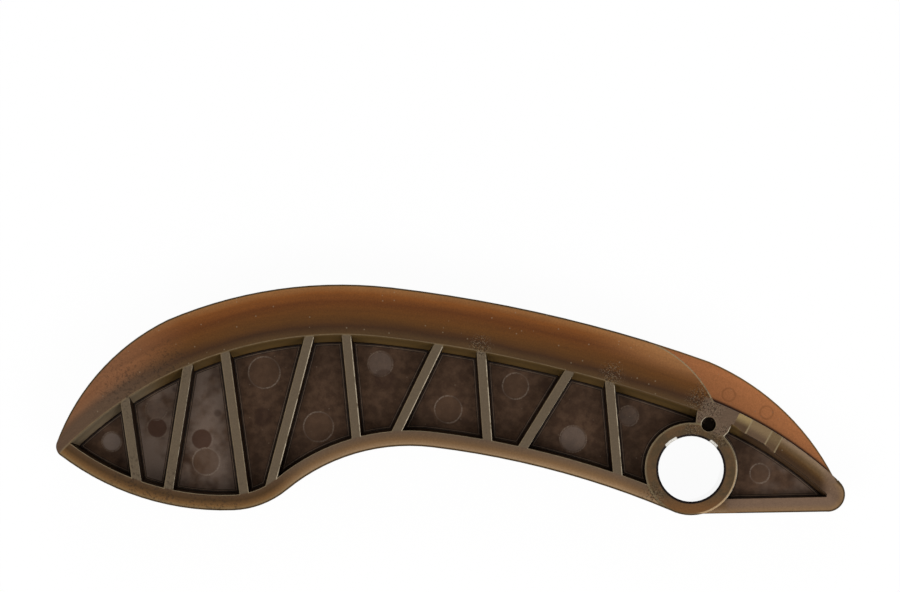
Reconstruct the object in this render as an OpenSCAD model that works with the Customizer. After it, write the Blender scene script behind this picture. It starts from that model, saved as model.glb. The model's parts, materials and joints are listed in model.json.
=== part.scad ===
// Timing chain guide: a one-piece moulded rail. A chain runs in the channel between two lips,
// a ribbed I-section body stiffens the rail, and a boss at one end turns on a pivot pin.
// Sizes are in mm. The rail lies on its back face: Z runs along the pivot bore,
// X along the rail and Y towards the chain. Angles are turned from +Y towards +X.

/* [Slide face] */
// Width of the rail along the pivot bore
rail_w = 17; // [13:0.5:22]
// Highest point of the slide face, along X from the bore
crown_x = -64.2; // [-72:0.1:-58]
// Highest point of the slide face, along Y from the bore
crown_y = 27.2; // [24:0.1:31]
// Radius of the slide face over the crown
crown_r = 74.5; // [65:0.5:85]
// Radius of the slide face on the long run to the pivot
run_r = 257.5; // [200:0.5:320]
// Radius of the slide face past the pivot
tail_r = 75; // [60:0.5:90]
// Angle at which the crown turns into the run
run_from = 6.6; // [5:0.1:8]
// Angle at which the run turns into the tail
tail_from = 19.7; // [18.5:0.1:21]
// Angle of the free end on the crown side
nose_at = 43.5; // [41:0.1:46]
// Angle of the rounded end on the pivot side
tip_at = 43; // [40:0.1:45]

/* [Lips] */
// Height of the lips over the slide face
lip_h = 6.6; // [4:0.1:8]
// Thickness of a lip at its crest
lip_t = 1.7; // [1.2:0.1:2.4]
// Slope of the channel walls
lip_draft = 12; // [4:0.5:15]
// Angle, short of the crown, at which both lips begin to run out to the nose
lip_from = 23; // [18:0.5:28]
// Angle at which the front lip begins to come down
front_lip_from = 17; // [15:0.1:18]
// Angle at which the front lip meets the slide face
front_lip_to = 21.8; // [21:0.1:24]

/* [Body] */
// Thickness of the plate under the slide face, at the front and back faces
plate_t = 2.6; // [2:0.1:3.5]
// Extra thickness of the plate at the web
plate_root = 1.5; // [0.5:0.1:2]
// Thickness of the web
web_t = 3; // [2:0.1:5]
// Thickness of the lower edge bars at the front and back faces
bar_t = 2.85; // [2:0.05:3.6]
// Extra thickness of the bars and each rib flank in the middle plane
root_t = 0.35; // [0.1:0.05:0.6]
// Thickness of a rib at the front and back faces
rib_t = 1.7; // [1.2:0.05:2.4]

/* [Lower edge] */
// Heel centre, along X from the crown
heel_dx = -20.3; // [-24:0.1:-17]
// Heel centre, along Y from the bore
heel_y = 8.9; // [7:0.1:11]
// Radius of the heel
heel_r = 16.5; // [14:0.1:19]
// Radius of the long toe between the heel and the nose
toe_r = 49.4; // [42:0.1:60]
// Radius of the hollow behind the heel
arch_r = 35.2; // [30:0.1:40]
// Radius of the strut from the hollow to the boss
strut_r = 162.5; // [140:0.5:200]
// Rounding of the nose corner
nose_r = 2.2; // [0.6:0.1:3]

/* [Pivot] */
// Diameter of the pivot bore
bore_d = 12; // [9:0.1:13]
// Diameter of the boss
boss_d = 17; // [15.5:0.1:19]
// Chamfer at the front end of the bore
bore_chamfer = 0.3; // [0.1:0.05:0.6]
// Diameter of the blind hole beside the boss
pin_d = 2.6; // [1.6:0.1:3]
// Depth of the blind hole
pin_depth = 6; // [3:0.5:8]

/* [Tail] */
// Radius of the rounded end
tip_r = 3.2; // [2.6:0.1:3.6]
// Drop of the first step on the front side
step_1 = 2; // [1:0.05:2.5]
// Drop of the second step on the front side
step_2 = 1.65; // [1:0.05:2.5]
// Run of a step's slope for each mm of its drop
step_slope = 1.4; // [0.8:0.1:2]
// Length of the tread between the two steps
tread = 4.1; // [2:0.1:5]
// Angle at which the first step begins
step_from = 25.8; // [24.5:0.1:28]

/* [Hidden] */
$fn = 96;
mid = rail_w / 2;
bore_r = bore_d / 2;
boss_r = boss_d / 2;
low_w = rail_w - step_1 - step_2;
lip_root = lip_t + lip_h * tan(lip_draft);
// Angle by which one swept piece reaches into the next
lap = 0.5;
// Depth by which one rounded piece sinks into the next
sink = 0.02;
// Angle at which a lip's run-out leaves its crest
dip = 3;
// Length by which pieces stand past the front and back faces before they are trimmed
rim = 1;

// Each rib: angle of its top on the plate, and X of its foot from the crown
ribs = [
    [-32.9, -37.2], [-22.3, -31.8], [-17, -17.5],
    [-4.2, -13.3], [0.7, 3], [8.9, 9.6],
    [10.5, 27], [14.4, 32.6], [15.9, 50.9]
];

function at(c, r, a) = c + r * [sin(a), cos(a)];
function angle_of(v) = atan2(v.x, v.y);
// Radius of the arc that leaves p square to angle a and comes down through q
function runout_r(p, a, q) = -(q - p) * (q - p) / (2 * ((q - p) * [sin(a), cos(a)]));
// Crossing of two circles, on the right of the line from c to d
function crossing(c, r, d, s) =
    let (l = norm(d - c), u = (d - c) / l, k = (l * l + r * r - s * s) / (2 * l))
    c + k * u + sqrt(r * r - k * k) * [u.y, -u.x];
function steps(a, b, n) = [for (i = [0:n]) a + (b - a) * i / n];

// Slide face: three tangent arcs
crown_c = [crown_x, crown_y - crown_r];
run_c = at(crown_c, crown_r - run_r, run_from);
tail_c = at(run_c, run_r - tail_r, tail_from);
function slide(a, up = 0) =
    a < run_from ? at(crown_c, crown_r + up, a)
    : a < tail_from ? at(run_c, run_r + up, a)
    : at(tail_c, tail_r + up, a);

// Lip crests come down to the slide face at the nose, at the tip and at the end of the front lip,
// on arcs that leave the crest at a slight angle
nose_lip_r = runout_r(slide(-lip_from, lip_h), -lip_from - dip, slide(-nose_at));
nose_lip_c = at(slide(-lip_from, lip_h), -nose_lip_r, -lip_from - dip);
tail_lip_r = runout_r(slide(tail_from, lip_h), tail_from + dip, slide(tip_at - lap));
tail_lip_c = at(slide(tail_from, lip_h), -tail_lip_r, tail_from + dip);
front_lip_r = runout_r(slide(front_lip_from, lip_h), front_lip_from + dip, slide(front_lip_to));
front_lip_c = at(slide(front_lip_from, lip_h), -front_lip_r, front_lip_from + dip);

// Lower edge: toe, heel, arch and strut, each tangent to the next and the strut to the boss
heel_c = [crown_x + heel_dx, heel_y];
toe_to = 178;
arch_to = 140.5;
toe_c = at(heel_c, heel_r - toe_r, toe_to);
arch_c = at(heel_c, heel_r + arch_r, arch_to);
strut_c = crossing(arch_c, strut_r - arch_r, [0, 0], strut_r + boss_r - sink);
arch_from = arch_to - 180;
strut_from = angle_of(arch_c - strut_c);
strut_to = angle_of(-strut_c);
nose_c = crossing(toe_c, toe_r - nose_r + sink, nose_lip_c, nose_lip_r - nose_r + sink);
tip_c = at(tail_c, tail_r - tip_r - sink, tip_at);
pin_c = [0.38, 0.96] * boss_r;

// Point on the middle of the lower edge bars at a given X
function under(c, r, x) = [x, c.y - sqrt(r * r - pow(x - c.x, 2))];
function over(c, r, x) = [x, c.y + sqrt(r * r - pow(x - c.x, 2))];
function foot(x) =
    x < at(heel_c, heel_r, toe_to).x ? under(toe_c, toe_r - bar_t / 2, x)
    : x < at(heel_c, heel_r, arch_to).x ? under(heel_c, heel_r - bar_t / 2, x)
    : x < at(arch_c, arch_r, strut_from).x ? over(arch_c, arch_r + bar_t / 2, x)
    : over(strut_c, strut_r + bar_t / 2, x);

// Sweeps a section, drawn as radius against Z, about centre c from angle a to angle b
module sweep(c, r, a, b) {
    translate([c.x, c.y, 0])
        rotate([0, 0, 90 - b])
            rotate_extrude(angle = b - a)
                translate([r, 0]) children();
}

// Sweeps a section along the slide face; the tighter arcs reach into the run by the lap
module along(a, b) {
    if (a < run_from) sweep(crown_c, crown_r, a, min(b, run_from + lap)) children();
    if (a < tail_from && b > run_from)
        sweep(run_c, run_r, max(a, run_from), min(b, tail_from)) children();
    if (b > tail_from) sweep(tail_c, tail_r, max(a, tail_from - lap), b) children();
}

// Post along the bore that stands past both faces
module post(c, r, past = rim) {
    translate([c.x, c.y, -past]) cylinder(r = r, h = rail_w + 2 * past);
}

// Plate with a lip on each side
module rail_section() {
    // The sloped underside carries on into the web, half way to the middle plane
    slope = plate_root / (mid - web_t / 2);
    edge = -plate_t + slope * rim;
    root = -plate_t - slope * (mid - web_t / 4);
    polygon([
        [edge, -rim], [lip_h, -rim], [lip_h, lip_t], [0, lip_root],
        [0, rail_w - lip_root], [lip_h, rail_w - lip_t],
        [lip_h, rail_w + rim], [edge, rail_w + rim],
        [root, mid + web_t / 4], [root, mid - web_t / 4]
    ]);
}

// Bar with one plain edge and one edge that is thicker in the middle plane
module bar_section(side) {
    edge = bar_t - root_t * rim / mid;
    polygon([
        [0, -rim], [side * edge, -rim], [side * (bar_t + root_t), mid],
        [side * edge, rail_w + rim], [0, rail_w + rim]
    ]);
}

// Two steps that set the front of the tail back
module tail_steps() {
    p = slide(step_from);
    high = 3 * rim;
    run_1 = step_slope * step_1;
    run_2 = step_slope * step_2;
    far = run_1 + tread + run_2;
    translate([p.x, p.y, 0])
        rotate([0, 0, -step_from - 3])
            rotate([90, 0, 0])
                translate([0, 0, -10])
                    linear_extrude(20) polygon([
                        [-step_slope * high, rail_w + high], [run_1, rail_w - step_1],
                        [run_1 + tread, rail_w - step_1], [far, low_w],
                        [far + 30, low_w], [far + 30, rail_w + high]
                    ]);
}

// Space about the rail from angle a to angle b, upwards from a height on the slide face and from a level
module surround(a, b, low, from_z) {
    along(a, b) translate([low, from_z]) square([lip_h + 3 - low, rail_w + 2 * rim - from_z]);
}

// What is cut off the rail past the run-outs of the lips at its two ends
module end_cuts() {
    difference() {
        surround(-nose_at - 8, 1.4 - lip_from, -12, -2 * rim);
        intersection() {
            post(nose_lip_c, nose_lip_r, 3 * rim);
            post(toe_c, toe_r - bar_t / 4, 3 * rim);
        }
    }
    difference() {
        surround(tail_from - lap, tip_at + 2, -1, -2 * rim);
        post(tail_lip_c, tail_lip_r, 3 * rim);
    }
}

// What is cut off the front lip past its run-out
module front_cut() {
    difference() {
        surround(front_lip_from - 0.2, tip_at + 2, 0, mid);
        post(front_lip_c, front_lip_r, 3 * rim);
    }
}

module rail() {
    difference() {
        along(-nose_at - 6, tip_at) rail_section();
        end_cuts();
        front_cut();
        tail_steps();
    }
}

module lower_bars() {
    intersection() {
        sweep(toe_c, toe_r, toe_to, toe_to + 46) bar_section(-1);
        post(nose_lip_c, nose_lip_r);
    }
    sweep(heel_c, heel_r, arch_to, toe_to) bar_section(-1);
    sweep(arch_c, arch_r, arch_from, strut_from) bar_section(1);
    sweep(strut_c, strut_r, strut_from, strut_to) bar_section(1);
}

// Straight bar from the boss to the rounded end
module tail_bar() {
    high = rim + low_w - sink;
    translate([0, 0, -rim]) linear_extrude(high) polygon([
        [0, 0.15 - boss_r], [tip_c.x, tip_c.y - tip_r + sink],
        [tip_c.x, tip_c.y - tip_r + bar_t], [0, bar_t - boss_r]
    ]);
    // The rounded end is cut back where the tail's pocket runs into its corner
    difference() {
        translate([tip_c.x, tip_c.y, -rim]) cylinder(r = tip_r, h = high);
        translate([tip_c.x - 2.1 * tip_r, tip_c.y - tip_r + bar_t / 2, -2 * rim])
            cube([2 * tip_r, 2 * tip_r, rail_w + 4 * rim]);
    }
}

module web() {
    inset = bar_t / 2;
    translate([0, 0, mid - web_t / 2])
        linear_extrude(web_t) polygon(concat(
            [for (a = steps(-nose_at, tip_at, 24)) slide(a, -plate_t)],
            [tip_c, tip_c + [0, bar_t / 2 - tip_r], [0, bar_t / 2 - boss_r]],
            [for (a = steps(strut_to, strut_from, 6)) at(strut_c, strut_r + inset, a)],
            [for (a = steps(strut_from, arch_from, 8)) at(arch_c, arch_r + inset, a)],
            [for (a = steps(arch_to, toe_to, 6)) at(heel_c, heel_r - inset, a)],
            [for (a = steps(toe_to, toe_to + 38, 8)) at(toe_c, toe_r - inset, a)]
        ));
}

module rib(top, low) {
    run = low - top;
    half = rib_t / 2;
    edge = half - root_t * rim / mid;
    translate([top.x, top.y, 0])
        rotate([0, 0, atan2(run.y, run.x)])
            rotate([90, 0, 90])
                linear_extrude(norm(run)) polygon([
                    [-edge, -rim], [edge, -rim], [half + root_t, mid],
                    [edge, rail_w + rim], [-edge, rail_w + rim], [-half - root_t, mid]
                ]);
}

// The space between the back face and the front face
module between_faces() {
    translate([-2 * crown_r, -2 * crown_r, 0]) cube([4 * crown_r, 4 * crown_r, rail_w]);
}

// Solid bridge between the boss and the plate
module bridge() {
    translate([0, 0, -rim]) linear_extrude(rail_w + 2 * rim) polygon([
        [0.06, 0.6] * boss_r, slide(tail_from + 0.1, -plate_t / 2),
        slide(step_from - 0.3, -plate_t / 2), slide(step_from - 0.3, -plate_t - plate_root),
        [0.6, 0.6] * boss_r
    ]);
}

// What the rounding takes off the corner where the lips run out to the toe
module nose_corner() {
    a = angle_of(nose_c - nose_lip_c);
    b = angle_of(nose_c - toe_c);
    difference() {
        translate([0, 0, -rim]) linear_extrude(rail_w + 2 * rim) polygon([
            nose_c, at(nose_c, 5 * nose_r, a), at(nose_c, 7 * nose_r, (a + b) / 2), at(nose_c, 5 * nose_r, b)
        ]);
        post(nose_c, nose_r, 2 * rim);
    }
}

module pivot_bore() {
    post([0, 0], bore_r);
    translate([0, 0, rail_w - bore_chamfer])
        cylinder(r1 = bore_r, r2 = bore_r + 2 * bore_chamfer, h = 2 * bore_chamfer);
}

module guide_rail() {
    color([0.27, 0.2, 0.12]) difference() {
        intersection() {
            union() {
                rail();
                lower_bars();
                tail_bar();
                web();
                for (r = ribs) rib(slide(r[0], -plate_t / 2), foot(crown_x + r[1]));
                bridge();
                post([0, 0], boss_r);
            }
            between_faces();
        }
        nose_corner();
        pivot_bore();
        translate([pin_c.x, pin_c.y, rail_w - pin_depth]) cylinder(d = pin_d, h = pin_depth + 1);
    }
}

guide_rail();
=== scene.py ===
"""Studio scene of a moulded timing chain guide that lies on a pale floor, ribbed side up."""

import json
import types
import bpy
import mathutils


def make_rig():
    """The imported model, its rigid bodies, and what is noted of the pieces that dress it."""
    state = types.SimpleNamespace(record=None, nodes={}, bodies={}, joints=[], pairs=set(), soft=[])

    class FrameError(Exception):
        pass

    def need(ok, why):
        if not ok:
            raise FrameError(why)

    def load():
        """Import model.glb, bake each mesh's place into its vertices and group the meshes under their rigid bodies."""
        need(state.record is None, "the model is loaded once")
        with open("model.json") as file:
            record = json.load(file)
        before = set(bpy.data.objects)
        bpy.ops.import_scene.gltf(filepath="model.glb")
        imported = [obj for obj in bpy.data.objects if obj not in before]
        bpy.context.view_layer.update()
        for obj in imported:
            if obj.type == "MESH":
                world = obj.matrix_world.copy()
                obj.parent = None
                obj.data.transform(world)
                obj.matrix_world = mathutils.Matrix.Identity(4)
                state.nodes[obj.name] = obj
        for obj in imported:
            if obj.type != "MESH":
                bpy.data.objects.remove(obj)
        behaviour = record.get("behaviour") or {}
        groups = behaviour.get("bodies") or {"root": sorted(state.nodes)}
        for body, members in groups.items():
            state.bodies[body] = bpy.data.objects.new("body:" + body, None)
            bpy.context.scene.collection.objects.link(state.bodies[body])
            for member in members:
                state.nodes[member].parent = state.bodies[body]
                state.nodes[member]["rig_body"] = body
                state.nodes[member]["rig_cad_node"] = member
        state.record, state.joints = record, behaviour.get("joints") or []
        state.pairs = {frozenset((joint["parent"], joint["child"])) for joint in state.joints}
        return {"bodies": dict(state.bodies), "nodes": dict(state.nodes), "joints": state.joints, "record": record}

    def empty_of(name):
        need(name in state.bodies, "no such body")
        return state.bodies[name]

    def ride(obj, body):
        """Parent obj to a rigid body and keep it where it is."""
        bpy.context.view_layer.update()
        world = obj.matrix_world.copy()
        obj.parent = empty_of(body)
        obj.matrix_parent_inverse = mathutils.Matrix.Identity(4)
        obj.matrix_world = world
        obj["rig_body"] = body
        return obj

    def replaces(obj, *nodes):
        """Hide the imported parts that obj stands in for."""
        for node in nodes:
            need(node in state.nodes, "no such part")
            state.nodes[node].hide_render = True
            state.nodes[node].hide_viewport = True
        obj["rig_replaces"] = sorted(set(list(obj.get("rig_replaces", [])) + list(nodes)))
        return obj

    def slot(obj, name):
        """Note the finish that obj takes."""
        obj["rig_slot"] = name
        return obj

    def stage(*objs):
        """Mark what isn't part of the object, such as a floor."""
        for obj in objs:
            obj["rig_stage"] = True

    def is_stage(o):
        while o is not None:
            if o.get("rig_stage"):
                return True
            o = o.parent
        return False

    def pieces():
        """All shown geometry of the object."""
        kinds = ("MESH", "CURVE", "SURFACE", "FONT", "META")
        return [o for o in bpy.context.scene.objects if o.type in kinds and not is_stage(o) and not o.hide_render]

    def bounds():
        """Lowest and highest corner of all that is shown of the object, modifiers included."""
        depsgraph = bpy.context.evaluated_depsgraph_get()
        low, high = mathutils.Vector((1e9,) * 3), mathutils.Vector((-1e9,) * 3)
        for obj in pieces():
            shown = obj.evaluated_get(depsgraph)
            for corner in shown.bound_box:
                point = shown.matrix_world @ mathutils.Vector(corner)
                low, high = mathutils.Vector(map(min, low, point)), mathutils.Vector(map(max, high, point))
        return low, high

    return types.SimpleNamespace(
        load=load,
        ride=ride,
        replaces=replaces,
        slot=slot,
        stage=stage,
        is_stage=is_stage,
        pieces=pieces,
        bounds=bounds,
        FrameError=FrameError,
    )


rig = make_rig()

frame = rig.load()

import json
import logging
import math
from dataclasses import dataclass, field
from enum import Enum

import bpy
from mathutils import Vector

CAD_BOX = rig.bounds()
SIZE_FILE = "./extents.json"
BODY = "root"
NODE = "guide_rail"
SLOT = "polyamide"
MM = 0.001

log = logging.getLogger("chain_guide")


class MarkKind(Enum):
    """What an ejector pin has left on a pocket floor."""

    RING = "ring"
    PAD = "pad"
    FAINT = "faint"
    STAIN = "stain"
    SPOT = "spot"


class Zone(Enum):
    """Material slot of a face of the rail."""

    SKIN = 0
    FLOOR = 1
    WALL = 2
    UNDER = 3
    TRACK = 4
    BORE = 5
    EDGE = 6
    # Pocket edges that face the lower right, with a brighter painted highlight.
    WORN = 7


@dataclass(frozen=True)
class Tone:
    """A colour as it looks on screen, 0 to 255."""

    red: float
    green: float
    blue: float

    def linear(self, veil: float = 0.0) -> tuple[float, float, float, float]:
        """Gives the colour in Blender's linear light.

        Args:
            veil: Share of white light that the gloss adds on top, taken off here.

        Returns:
            Red, green, blue and full alpha.
        """
        def channel(value: float) -> float:
            """Turns one channel into linear light.

            Args:
                value: The channel, 0 to 255.

            Returns:
                The linear channel.
            """
            v = value / 255
            light = v / 12.92 if v <= 0.04045 else ((v + 0.055) / 1.055) ** 2.4
            return max(light - veil, 0.25 * light)
        return (channel(self.red), channel(self.green), channel(self.blue), 1.0)


@dataclass(frozen=True)
class Arc:
    """A circle in the plane of the rail, in mm."""

    x: float
    y: float
    r: float

    def outside(self, x: float, y: float) -> float:
        """Returns how far a point lies outside the circle."""
        return math.hypot(x - self.x, y - self.y) - self.r


@dataclass(frozen=True)
class Patch:
    """A round place with a soft rim in the plane of the rail, in mm."""

    x: float
    y: float
    r: float
    soft: float


@dataclass(frozen=True)
class EjectorMark:
    """A round mark on a pocket floor, in mm."""

    x: float
    y: float
    r: float
    kind: MarkKind
    strength: float = 1.0

    @property
    def pressed(self) -> bool:
        """Says whether the mark stands in relief."""
        return self.kind in (MarkKind.RING, MarkKind.PAD, MarkKind.FAINT)


@dataclass(frozen=True)
class RailLines:
    """The lines that the rail's colours and finishes follow, in mm."""

    crown: Arc = Arc(-64.2, -47.3, 74.5)
    run: Arc = Arc(-85.233, -229.087, 257.5)
    tail: Arc = Arc(-23.714, -57.269, 75.0)
    nose_lip: Arc = Arc(-78.048, -9.225, 40.697)
    tail_lip: Arc = Arc(-13.872, -22.676, 45.777)
    front_lip: Arc = Arc(-15.404, 3.181, 21.595)
    toe: Arc = Arc(-85.648, 41.78, 49.4)
    heel: Arc = Arc(-84.5, 8.9, 16.5)
    arch: Arc = Arc(-51.615, -30.993, 35.2)
    strut: Arc = Arc(-66.823, -157.381, 162.5)
    boss: Arc = Arc(0.0, 0.0, 8.5)
    bore: Arc = Arc(0.0, 0.0, 6.0)
    tip: Arc = Arc(25.24, -4.772, 3.2)
    blind_hole: Arc = Arc(3.23, 8.16, 1.3)
    nose_lip_to_x: float = -95.9
    run_from_x: float = -55.64
    tail_from_x: float = 1.57
    tail_lip_from_x: float = 3.8
    heel_from_x: float = -83.92
    arch_from_x: float = -74.0
    strut_from_x: float = -47.41
    boss_from_x: float = -3.31
    tail_bar_from_x: float = 1.0
    tail_bar_rise: float = 0.0209
    plate: float = 2.6
    plate_root: float = 1.5
    bar: float = 2.85
    lip: float = 6.6
    width: float = 17.0
    web: float = 3.0
    # Painted highlights: angle and half-width of the two lamp glints on the bore's front rim, and how far out they
    # reach.
    glint_spots: tuple[tuple[float, float], ...] = ((126.0, 1.35), (48.3, 0.95))
    glint_reach: float = 0.5
    tip_level: float = 13.34
    seam: tuple[float, float] = (-75.838, -1.607)
    seam_levels: tuple[float, float] = (0.796, 16.204)
    step_from: tuple[float, float] = (8.929, 10.255)
    step_way: tuple[float, float] = (0.876, -0.482)
    step_ends: tuple[float, float, float, float] = (0.0, 2.8, 6.9, 9.21)

    @property
    def middle(self) -> float:
        """Level of the middle plane."""
        return self.width / 2

    @property
    def floor(self) -> float:
        """Level of the front pocket floors."""
        return self.middle + self.web / 2

    def up(self, x: float, y: float) -> float:
        """Gives the height of a point over the slide face.

        Args:
            x: Place along the rail, in mm.
            y: Place towards the chain, in mm.

        Returns:
            The height in mm, negative under the slide face.
        """
        arc = self.crown if x < self.run_from_x else self.run if x < self.tail_from_x else self.tail
        return arc.outside(x, y)

    def low(self, x: float, y: float) -> float:
        """Gives the distance of a point from the rail's lower edge.

        Args:
            x: Place along the rail, in mm.
            y: Place towards the chain, in mm.

        Returns:
            The distance in mm, positive inside the rail.
        """
        if x < self.heel_from_x:
            return -self.toe.outside(x, y)
        if x < self.arch_from_x:
            return -self.heel.outside(x, y) if y < self.heel.y else self.width
        if x < self.strut_from_x:
            return self.arch.outside(x, y)
        if x < self.boss_from_x:
            return self.strut.outside(x, y)
        return y + self.boss.r - self.tail_bar_rise * x


LINES = RailLines()
MARKS = (
    EjectorMark(-106.5, 4.85, 1.8, MarkKind.PAD),
    EjectorMark(-98.1, 7.4, 1.9, MarkKind.STAIN),
    EjectorMark(-98.3, 10.8, 2.0, MarkKind.FAINT),
    EjectorMark(-89.9, 5.3, 2.0, MarkKind.STAIN),
    EjectorMark(-89.1, 1.2, 2.5, MarkKind.RING),
    EjectorMark(-78.4, 17.6, 2.9, MarkKind.RING),
    EjectorMark(-68.4, 7.6, 2.75, MarkKind.RING),
    EjectorMark(-57.0, 19.2, 2.3, MarkKind.PAD, 0.45),
    EjectorMark(-44.5, 10.8, 2.5, MarkKind.RING),
    EjectorMark(-32.1, 15.1, 2.4, MarkKind.RING),
    EjectorMark(-21.5, 5.35, 2.45, MarkKind.PAD, 0.6),
    EjectorMark(-11.3, 9.6, 1.85, MarkKind.PAD, 0.4),
    EjectorMark(12.9, -1.0, 1.8, MarkKind.RING, 0.8),
    EjectorMark(-104.7, 1.4, 0.8, MarkKind.SPOT),
    EjectorMark(-94.9, 14.5, 0.75, MarkKind.SPOT),
    EjectorMark(-87.0, 10.1, 0.95, MarkKind.SPOT),
    EjectorMark(-56.3, 16.4, 2.1, MarkKind.SPOT),
    EjectorMark(-78.6, 9.4, 2.0, MarkKind.SPOT),
)

PITS = (
    Patch(2.6, 11.8, 3.4, 3.0), Patch(5.6, 6.2, 2.0, 2.0), Patch(-7.0, -5.2, 2.0, 2.4),
    Patch(0.2, 7.4, 1.6, 1.6), Patch(-14.6, 17.3, 2.0, 2.4), Patch(-38.6, 22.4, 1.9, 2.2),
)
STIPPLES = (
    Patch(-103.0, 14.0, 6.0, 8.0), Patch(-96.0, 19.0, 4.0, 6.0),
    Patch(-100.0, -3.4, 7.0, 6.0), Patch(-88.0, -6.4, 6.0, 5.0),
)
BRIDGE_FACE = Patch(5.4, 9.3, 4.9, 1.2)
BRIDGE_PLATE = Patch(6.3, 10.4, 4.4, 1.4)
LIP_RINGS = (Arc(7.5, 13.4, 1.2), Arc(14.5, 10.1, 1.2))
RELIEF = 0.05 * MM

Socket = bpy.types.NodeSocket
Outputs = bpy.types.bpy_prop_collection
Feed = Socket | Tone | float | tuple


class NodeSheet:
    """Adds shader nodes to one tree and wires them."""

    def __init__(self, tree: bpy.types.NodeTree, veil: float = 0.0) -> None:
        """Keeps the tree that the nodes go into and the gloss taken off its tones."""
        self.tree = tree
        self.veil = veil

    def add(self, kind: str, **settings: object) -> bpy.types.Node:
        """Adds a node.

        Args:
            kind: Blender's name of the node type.
            **settings: Properties set on the node.

        Returns:
            The new node.
        """
        node = self.tree.nodes.new(kind)
        for name, value in settings.items():
            setattr(node, name, value)
        return node

    def feed(self, target: Socket, value: Feed) -> None:
        """Links a socket to an input, or sets a plain value on it.

        Args:
            target: The input.
            value: A socket, a tone or a plain value.
        """
        if isinstance(value, bpy.types.NodeSocket):
            self.tree.links.new(value, target)
        elif isinstance(value, Tone):
            target.default_value = value.linear(self.veil)
        else:
            target.default_value = value

    def number(self, operation: str, a: Feed, b: Feed = 0.0) -> Socket:
        """Adds a Math node.

        Args:
            operation: Blender's name of the operation.
            a: First value.
            b: Second value, where the operation takes two.

        Returns:
            The result.
        """
        node = self.add("ShaderNodeMath", operation=operation)
        self.feed(node.inputs[0], a)
        self.feed(node.inputs[1], b)
        return node.outputs[0]

    def rise(self, value: Feed, low: float, high: float) -> Socket:
        """Makes a soft mask from a value.

        Args:
            value: The value.
            low: Where the mask is 0.
            high: Where the mask is 1, above or below low.

        Returns:
            The mask.
        """
        node = self.add("ShaderNodeMapRange", interpolation_type="SMOOTHSTEP")
        flip = low > high
        self.feed(node.inputs["Value"], value)
        node.inputs["From Min"].default_value = min(low, high)
        node.inputs["From Max"].default_value = max(low, high)
        node.inputs["To Min"].default_value = 1.0 if flip else 0.0
        node.inputs["To Max"].default_value = 0.0 if flip else 1.0
        return node.outputs["Result"]

    def band(self, value: Feed, middle: float, half: float) -> Socket:
        """Returns a mask that is 1 at the middle of a band and 0 past its edges."""
        away = self.number("ABSOLUTE", self.number("SUBTRACT", value, middle))
        return self.rise(away, half, half * 0.3)

    def fold(self, operation: str, values: tuple[Feed, ...]) -> Socket:
        """Joins several masks by one operation.

        Args:
            operation: Blender's name of the operation.
            values: The masks.

        Returns:
            The joined mask.
        """
        total = values[0]
        for value in values[1:]:
            total = self.number(operation, total, value)
        return total

    def times(self, *values: Feed) -> Socket:
        """Returns the product of several masks."""
        return self.fold("MULTIPLY", values)

    def most(self, *values: Feed) -> Socket:
        """Returns the largest of several masks."""
        return self.fold("MAXIMUM", values)

    def pick(self, chooser: Feed, below: Feed, above: Feed, at: float) -> Socket:
        """Chooses between two values by a limit.

        Args:
            chooser: The value that is held against the limit.
            below: Result up to the limit.
            above: Result above the limit.
            at: The limit.

        Returns:
            The chosen value.
        """
        over = self.number("GREATER_THAN", chooser, at)
        node = self.add("ShaderNodeMix", data_type="FLOAT")
        self.feed(node.inputs[0], over)
        self.feed(node.inputs[2], below)
        self.feed(node.inputs[3], above)
        return node.outputs[0]

    def blend(self, share: Feed, under: Feed, over: Feed, mode: str = "MIX") -> Socket:
        """Lays one colour over another by a mask.

        Args:
            share: How much of the upper colour shows.
            under: Lower colour.
            over: Upper colour.
            mode: Blender's name of the way of mixing.

        Returns:
            The colour.
        """
        node = self.add("ShaderNodeMix", data_type="RGBA", blend_type=mode)
        self.feed(node.inputs[0], share)
        self.feed(node.inputs[6], under)
        self.feed(node.inputs[7], over)
        return node.outputs[2]

    def vary(self, colour: Socket, value: Socket, depth: float) -> Socket:
        """Makes a colour darker and lighter by a value about 0.5.

        Args:
            colour: The colour.
            value: Noise about 0.5.
            depth: How far the brightness goes from one end of the noise to the other.

        Returns:
            The varied colour.
        """
        swing = self.number("MULTIPLY", self.number("SUBTRACT", value, 0.5), depth)
        return self.blend(1.0, colour, self.number("ADD", swing, 1.0), "MULTIPLY")

    def ramp(self, value: Feed, stops: list[tuple[float, Tone]]) -> Socket:
        """Returns a colour read from a ramp.

        Args:
            value: Place on the ramp, 0 to 1.
            stops: Places and colours, in order.

        Returns:
            The colour socket.
        """
        node = self.add("ShaderNodeValToRGB")
        self.feed(node.inputs[0], value)
        cells = node.color_ramp.elements
        while len(cells) < len(stops):
            cells.new(0.5)
        for cell, (place, tone) in zip(cells, stops):
            cell.position = place
            cell.color = tone.linear(self.veil)
        return node.outputs[0]

    def noise(self, vector: Socket, scale: float, detail: float = 3.0, rough: float = 0.55) -> Socket:
        """Adds a noise texture.

        Args:
            vector: Place, in mm.
            scale: Bumps per mm.
            detail: Number of finer layers.
            rough: Share of the finer layers.

        Returns:
            A value about 0.5.
        """
        node = self.add("ShaderNodeTexNoise")
        self.feed(node.inputs["Vector"], vector)
        node.inputs["Scale"].default_value = scale
        node.inputs["Detail"].default_value = detail
        node.inputs["Roughness"].default_value = rough
        return node.outputs[0]

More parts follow.
